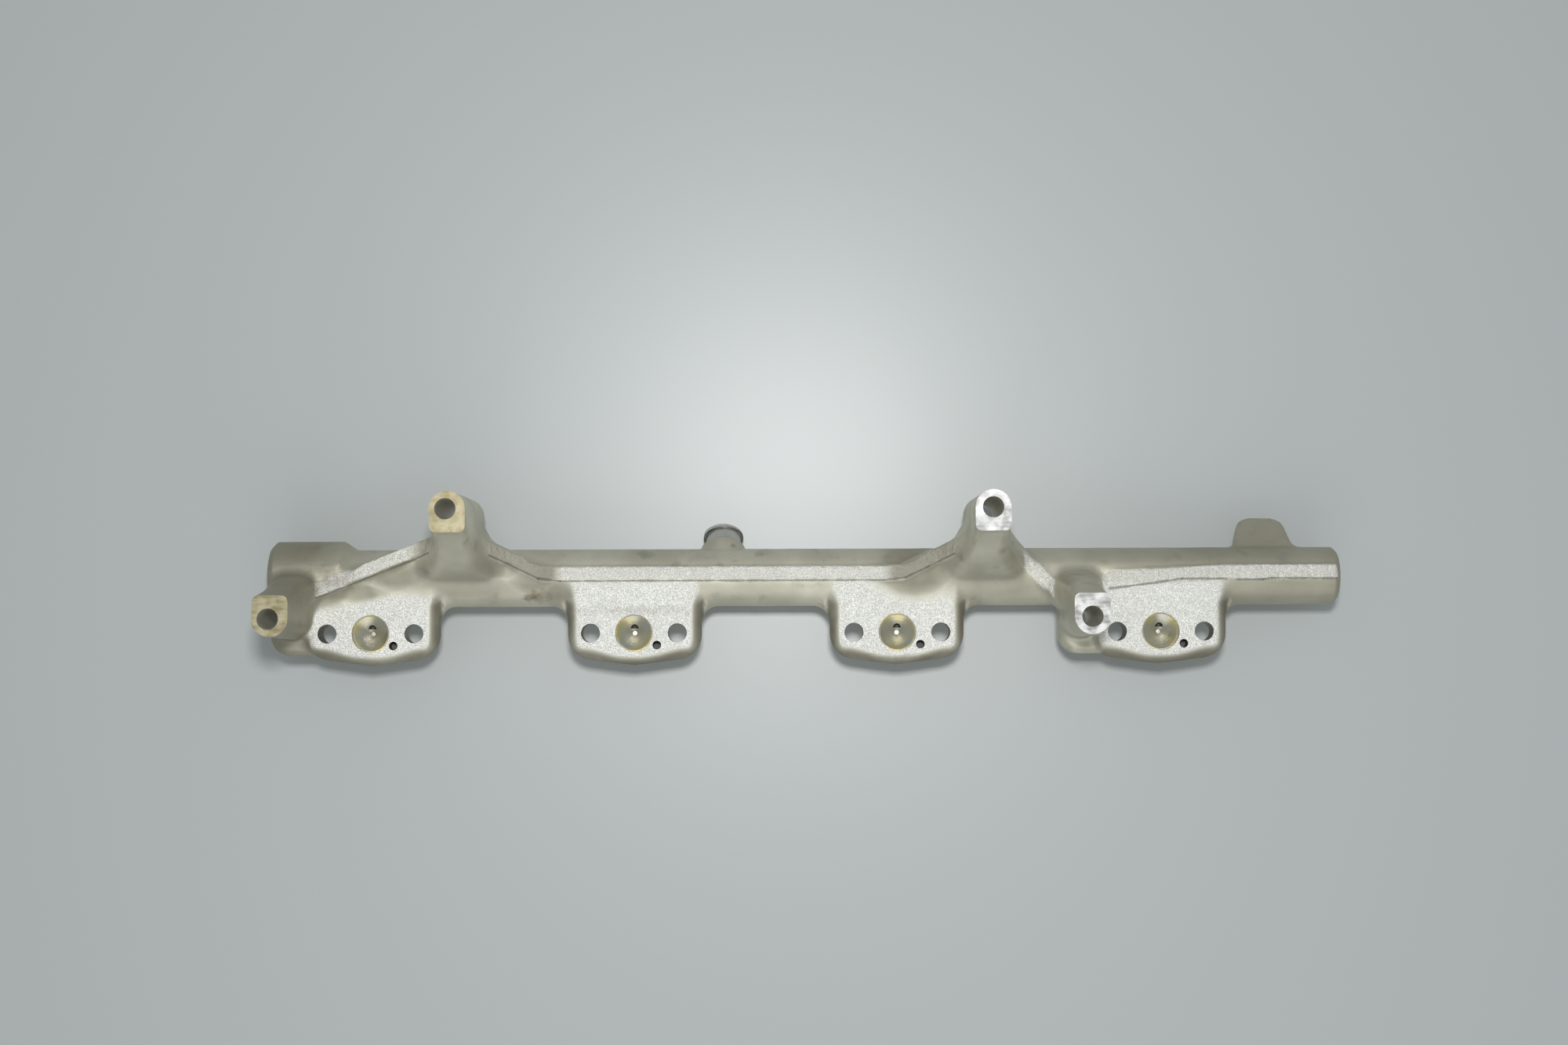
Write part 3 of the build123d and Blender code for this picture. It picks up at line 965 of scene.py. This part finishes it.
rings_group, taken, given = new_group(
    "rings", {"Spacing": "Float", "Depth": "Float"}, {"Radius": "Float", "Normal": "Vector"}
)
spot = add_node(
    rings_group, "ShaderNodeSeparateXYZ", Vector=object_place(rings_group)
).outputs
from_first = do_math(rings_group, "SUBTRACT", spot["X"], SEATS[0] * MM)
from_seat = do_math(rings_group, "WRAP", from_first, PITCH / 2 * MM, -PITCH / 2 * MM)
from_row = do_math(rings_group, "SUBTRACT", spot["Y"], SEAT_Y * MM)
squares = do_math(
    rings_group, "ADD",
    do_math(rings_group, "MULTIPLY", from_seat, from_seat),
    do_math(rings_group, "MULTIPLY", from_row, from_row),
)
radius = do_math(rings_group, "SQRT", squares)
wave = do_math(rings_group, "SINE", do_math(rings_group, "DIVIDE", radius, taken["Spacing"]))
bump = add_node(
    rings_group, "ShaderNodeBump", Height=wave, Strength=taken["Depth"], Distance=RING_HEIGHT
)
rings_group.links.new(radius, given["Radius"])
rings_group.links.new(bump.outputs["Normal"], given["Normal"])
print("group:", rings_group.name)

# %% [markdown]
# ## Forged skin
# The skin of the forging is a smooth olive grey, darker towards both ends, with brown stains where
# oil has dried. The hollows and the rolled edges get a painted shade, and a painted shadow line
# runs along the seams below the trimmed crests. The flat places are bright and grainy, and their
# brightness is partly a painted highlight. Each layer below mixes one more tone over the last. The
# patterns are noise over the object's own coordinates, so they need no unwrapping and stay put
# whichever way the rail is turned.

# %% Tones of the skin
SKIN_DEEP, SKIN_PALE = (0.545, 0.523, 0.425, 1), (0.690, 0.668, 0.555, 1)
END_TONE = (0.270, 0.250, 0.185, 1)
# painted shade for the hollows and the rolled edges, and the tone of a climbing crest
SHADE_AND_DULL_TONE = (0.215, 0.200, 0.150, 1)
SMUDGE_TONE = (0.27, 0.26, 0.21, 1)
FLAT_GREY, FLAT_BRIGHT = (0.64, 0.63, 0.58, 1), (1.0, 0.995, 0.96, 1)
STAIN_AND_SHADE_TONE = (0.16, 0.115, 0.07, 1)
# the painted shadow line along the seams
SEAM_SHADOW_TONE = (0.13, 0.12, 0.09, 1)
HEAD_END, HEAD_SHARE = (-0.118, -0.142), 0.72  # where the head grows darker, and how much
PLAIN_END, PLAIN_SHARE = (0.095, 0.165), 0.50
SMUDGE_SHARE = 0.45


def shader_of(material):
    """The node tree of a material and its shader."""
    return material.node_tree, material.node_tree.nodes["Principled BSDF"]


def skin_mark(tree, name):
    """The value that the mesh keeps under a name."""
    mark = tree.nodes.new("ShaderNodeAttribute")
    mark.attribute_name = name
    return mark.outputs["Fac"]


tree, shader = shader_of(forged)
flat, crest, dull_and_shaded = [skin_mark(tree, name) for name in ("flat", "crest", "dull_and_shaded")]
spot = add_node(tree, "ShaderNodeSeparateXYZ", Vector=object_place(tree)).outputs
mottle = ramp(tree, noise(tree, 55.0, detail=4.0), 0.35, 0.65)
steel_colour = mix_colour(tree, mottle, SKIN_DEEP, SKIN_PALE)
head_end = ramp(tree, spot["X"], *HEAD_END, 0.0, HEAD_SHARE)
plain_end = ramp(tree, spot["X"], *PLAIN_END, 0.0, PLAIN_SHARE)
steel_colour = mix_colour(
    tree, do_math(tree, "MAXIMUM", head_end, plain_end), steel_colour, END_TONE
)
# Painted shade on the hollows and the rolled edges, laid on by the dull share.
uneven = ramp(tree, noise(tree, 90.0, detail=4.0), 0.3, 0.6, 0.75, 1.0)
steel_colour = mix_colour(
    tree, do_math(tree, "MULTIPLY", dull_and_shaded, uneven), steel_colour, SHADE_AND_DULL_TONE
)
smudge = ramp(tree, noise(tree, 130.0, detail=5.0), 0.60, 0.74)
steel_colour = mix_colour(
    tree, do_math(tree, "MULTIPLY", smudge, SMUDGE_SHARE), steel_colour, SMUDGE_TONE
)
print("tones laid on", forged.name)

# %% Bright and grainy places
SKIN_GRAIN_SCALE = 2600.0

grainy = do_math(tree, "MAXIMUM", flat, crest)
grain = place_group(
    tree, grain_group, Scale=SKIN_GRAIN_SCALE, Depth=ramp(tree, grainy, 0.0, 1.0, 0.15, 0.95),
    Coarse=ramp(tree, crest, 0.0, 1.0, 0.35, 1.6),
)
speckle = ramp(tree, grain["Value"], 0.40, 0.60)
patchy = ramp(tree, noise(tree, 70.0, detail=3.0), 0.35, 0.65, 0.85, 1.0)
flat_colour = mix_colour(
    tree, do_math(tree, "MULTIPLY", speckle, patchy), FLAT_GREY, FLAT_BRIGHT
)
# The near-white flat colour is partly the blasted finish and partly a painted highlight.
steel_colour = mix_colour(tree, flat, steel_colour, flat_colour)
print("grain laid on", forged.name)

# %% Stains of dried oil, and painted shade on one rolled edge
STAINS_AND_SHADE = [  # middle and reach in millimetres, and strength
    ((-64.6, -28.3, -36.0), (7.0, 3.4, 9.0), 0.75),
    ((-136.0, -22.0, -33.0), (13.0, 9.0, 12.0), 0.4),
    ((-30.0, -33.0, -36.0), (30.0, 2.6, 8.0), 0.3),
    # this one is painted shade along the rolled lower edge of the third pad
    ((60.0, -49.5, -36.0), (20.0, 2.0, 7.0), 0.3),
    ((3.5, -10.4, -45.0), (1.6, 1.4, 8.0), 0.5),
    ((13.8, -13.9, -40.0), (3.4, 1.3, 8.0), 0.4),
    ((4.7, -16.2, -38.0), (3.0, 0.9, 8.0), 0.35),
]


def metres(values):
    """Lengths given in millimetres, in metres."""
    return [value * MM for value in values]


for middle, reach, strength in STAINS_AND_SHADE:
    mask = place_group(tree, stain_group, Place=metres(middle), Reach=metres(reach))["Mask"]
    steel_colour = mix_colour(
        tree, do_math(tree, "MULTIPLY", mask, strength), steel_colour, STAIN_AND_SHADE_TONE
    )
print("stains:", len(STAINS_AND_SHADE))

# %% Painted shadow lines along the seams where the flash was trimmed
SEAMS = [
    ((-139.6, -28.5), (-101.0, -13.2)),
    ((-80.0, -14.1), (-63.5, -22.0)),
    ((-63.5, -22.0), (-56.0, -22.9)),
    ((-56.0, -22.9), (56.0, -22.9)),
    ((56.0, -22.9), (63.5, -22.0)),
    ((63.5, -22.0), (80.0, -14.1)),
    ((133.9, -26.2), (159.0, -22.8)),
    ((159.0, -22.8), (174.5, -22.8)),
    ((178.0, -23.1), (187.0, -23.1)),
    ((187.0, -23.1), (190.0, -22.6)),
    ((190.0, -22.6), (212.5, -22.8)),
]
SEAM_WIDTH, SEAM_SHARE = 0.45, 0.6

upper = ramp(tree, spot["Z"], (PAD_FACE - 2.0) * MM, (PAD_FACE - 1.0) * MM)
# Each line is the painted shadow of the small step at the lower edge of a trimmed crest, a step
# that the smoothing took out of the mesh.
for start, end in SEAMS:
    ends = {"Start": metres((*start, 0)), "End": metres((*end, 0))}
    mask = place_group(tree, seam_group, Width=SEAM_WIDTH * MM, **ends)["Mask"]
    share = do_math(tree, "MULTIPLY", do_math(tree, "MULTIPLY", mask, upper), SEAM_SHARE)
    steel_colour = mix_colour(tree, share, steel_colour, SEAM_SHADOW_TONE)
tree.links.new(steel_colour, shader.inputs["Base Color"])
print("seams:", len(SEAMS))

# %% Shine of the skin
MATT_OF_FLAT, MATT_OF_DULL = 0.30, 0.50  # how much of the metallic look each place loses
SKIN_METALLIC = 0.75

tree.links.new(ramp(tree, dull_and_shaded, 0.0, 1.0, 0.52, 0.72), shader.inputs["Roughness"])
tree.links.new(grain["Normal"], shader.inputs["Normal"])
matt = do_math(
    tree, "ADD",
    do_math(tree, "MULTIPLY", flat, MATT_OF_FLAT),
    do_math(tree, "MULTIPLY", dull_and_shaded, MATT_OF_DULL),
)
tree.links.new(ramp(tree, matt, 0.0, 1.0, SKIN_METALLIC, 0.0), shader.inputs["Metallic"])
print(forged.name, "has", len(tree.nodes), "nodes")

# %% [markdown]
# ## Machined steel
# Milled, turned and drilled faces are bare steel. The left feet have a golden tarnish, and the
# right ones are freshly scratched. The rings of the turned seats are too fine for the mesh, so
# they are a bump, worked out from the distance to the nearest seat.

# %% Milled feet
def milled(material, dark, bright):
    """Bare steel with fine scratches in two directions."""
    tree, shader = shader_of(material)
    along = noise(tree, 700.0, detail=4.0, stretch=(0.22, 1.4, 1.0))
    across = noise(tree, 420.0, detail=4.0, stretch=(1.0, 0.8, 1.0))
    scratches = do_math(tree, "MULTIPLY", along, do_math(tree, "ADD", across, 0.5))
    patches = ramp(tree, noise(tree, 260.0, detail=3.0), 0.4, 0.62)
    worn = do_math(tree, "ADD", scratches, do_math(tree, "MULTIPLY", patches, 0.35))
    colour = mix_colour(tree, ramp(tree, worn, 0.38, 0.95), dark, bright)
    tree.links.new(colour, shader.inputs["Base Color"])
    tree.links.new(ramp(tree, scratches, 0.2, 0.8, 0.42, 0.6), shader.inputs["Roughness"])
    bump = add_node(tree, "ShaderNodeBump", Height=scratches, Strength=0.25, Distance=0.0002)
    tree.links.new(bump.outputs["Normal"], shader.inputs["Normal"])
    shader.inputs["Metallic"].default_value = 0.9


milled(milled_left, (0.25, 0.215, 0.12, 1), (0.45, 0.405, 0.275, 1))
milled(milled_right, (0.20, 0.20, 0.195, 1), (0.60, 0.60, 0.59, 1))
print("milled:", milled_left.name, milled_right.name)

# %% Turned seats
SEAT_GREY, SEAT_GOLD = (0.53, 0.52, 0.45, 1), (0.66, 0.58, 0.31, 1)
GOLD_FROM, GOLD_TO = 0.0055, 0.0070  # radius of the golden rim, in metres

tree, shader = shader_of(turned)
rings = place_group(tree, rings_group, Spacing=0.00016, Depth=0.05)
uneven = do_math(tree, "MULTIPLY", noise(tree, 300.0), 0.004)
gold = ramp(tree, do_math(tree, "ADD", rings["Radius"], uneven), GOLD_FROM, GOLD_TO)
patch = ramp(tree, noise(tree, 120.0, detail=1.0), 0.42, 0.62)
seat_colour = mix_colour(tree, do_math(tree, "MULTIPLY", gold, patch), SEAT_GREY, SEAT_GOLD)
tree.links.new(seat_colour, shader.inputs["Base Color"])
tree.links.new(ramp(tree, noise(tree, 700.0), 0.3, 0.7, 0.30, 0.38), shader.inputs["Roughness"])
tree.links.new(rings["Normal"], shader.inputs["Normal"])
shader.inputs["Metallic"].default_value = 1.0
print("turned:", turned.name)

# %% Drilled holes and the thread
HOLE_TONES = [  # material, dark and bright tone, and roughness
    (drilled, (0.34, 0.32, 0.27, 1), (0.50, 0.48, 0.42, 1), 0.42),
    # a lighter copy of the drilled steel: painted light on the walls of the foot holes
    (bolt_hole_lit, (0.78, 0.76, 0.68, 1), (0.92, 0.90, 0.82, 1), 0.50),
    # a darker copy of the drilled steel: painted shade in the dowel holes and the passages
    (shaded_small_hole, (0.13, 0.125, 0.11, 1), (0.19, 0.18, 0.16, 1), 0.60),
    (threaded, (0.55, 0.54, 0.50, 1), (0.86, 0.85, 0.82, 1), 0.28),
]

for material, dark, bright, roughness in HOLE_TONES:
    tree, shader = shader_of(material)
    share = noise(tree, 500.0, detail=3.0)
    tree.links.new(mix_colour(tree, share, dark, bright), shader.inputs["Base Color"])
    hole_grain = place_group(tree, grain_group, Scale=3000.0, Depth=0.08, Coarse=0.35)
    tree.links.new(hole_grain["Normal"], shader.inputs["Normal"])
    hole_roughness = ramp(tree, share, 0.3, 0.7, roughness, roughness + 0.1)
    tree.links.new(hole_roughness, shader.inputs["Roughness"])
    shader.inputs["Metallic"].default_value = 0.95
print("finishes:", [material.name for material in bpy.data.materials])

# %% [markdown]
# ## Studio
# A plain pale table and two lamps. The small key lamp stands near the camera, because the flat
# faces that look at the camera are the brightest ones on this rail. The large fill lamp stands in
# front and keeps the shadows soft.

# %% Table
TABLE_GREY = (0.462, 0.488, 0.487, 1)
TABLE_SIZE, TABLE_GAP = 6, 0.0005

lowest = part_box("rail_body")[0]
bpy.ops.object.select_all(action="DESELECT")
bpy.ops.mesh.primitive_plane_add(size=TABLE_SIZE, location=(0.0, 0.0, lowest.z - TABLE_GAP))
table = bpy.context.object
table.name = "table"
table_paint = new_material("table_paint")
tree, shader = shader_of(table_paint)
shader.inputs["Base Color"].default_value = TABLE_GREY
shader.inputs["Roughness"].default_value = 0.35
table.data.materials.append(table_paint)
print("table under", round(lowest.z / MM, 2), "mm")

# %% Lamps
TARGET = Vector((0.027, -0.03, -0.04))


def area_lamp(name, place, size, power):
    """A soft square lamp that looks at the rail."""
    bpy.ops.object.light_add(type="AREA", location=place)
    lamp = bpy.context.object
    lamp.name = name
    lamp.data.size = size
    lamp.data.energy = power
    lamp.rotation_euler = (TARGET - Vector(place)).to_track_quat("-Z", "Y").to_euler()


area_lamp("key", (0.03, 0.09, 0.85), 0.09, 4.0)
area_lamp("fill", (0.05, -0.85, 0.55), 0.8, 2.1)
world = bpy.data.worlds.new("studio")
bpy.context.scene.world = world
world.use_nodes = True
background = world.node_tree.nodes["Background"].inputs
background["Color"].default_value = (0.8, 0.85, 0.85, 1)
background["Strength"].default_value = 0.45
print("lamps:", len(bpy.data.lights))

# %% Camera
CAMERA_PLACE = (0.0213, -0.0523, 0.7521)
CAMERA_TURN = (math.radians(3.6), 0.0, math.radians(-0.2))

bpy.ops.object.camera_add(location=CAMERA_PLACE, rotation=CAMERA_TURN)
camera = bpy.context.object
camera.data.sensor_width = 36.0
camera.data.lens = 52.2
camera.data.clip_start = 0.01
bpy.context.scene.camera = camera
bpy.context.scene.view_settings.view_transform = "Standard"
print("camera at", tuple(camera.location))
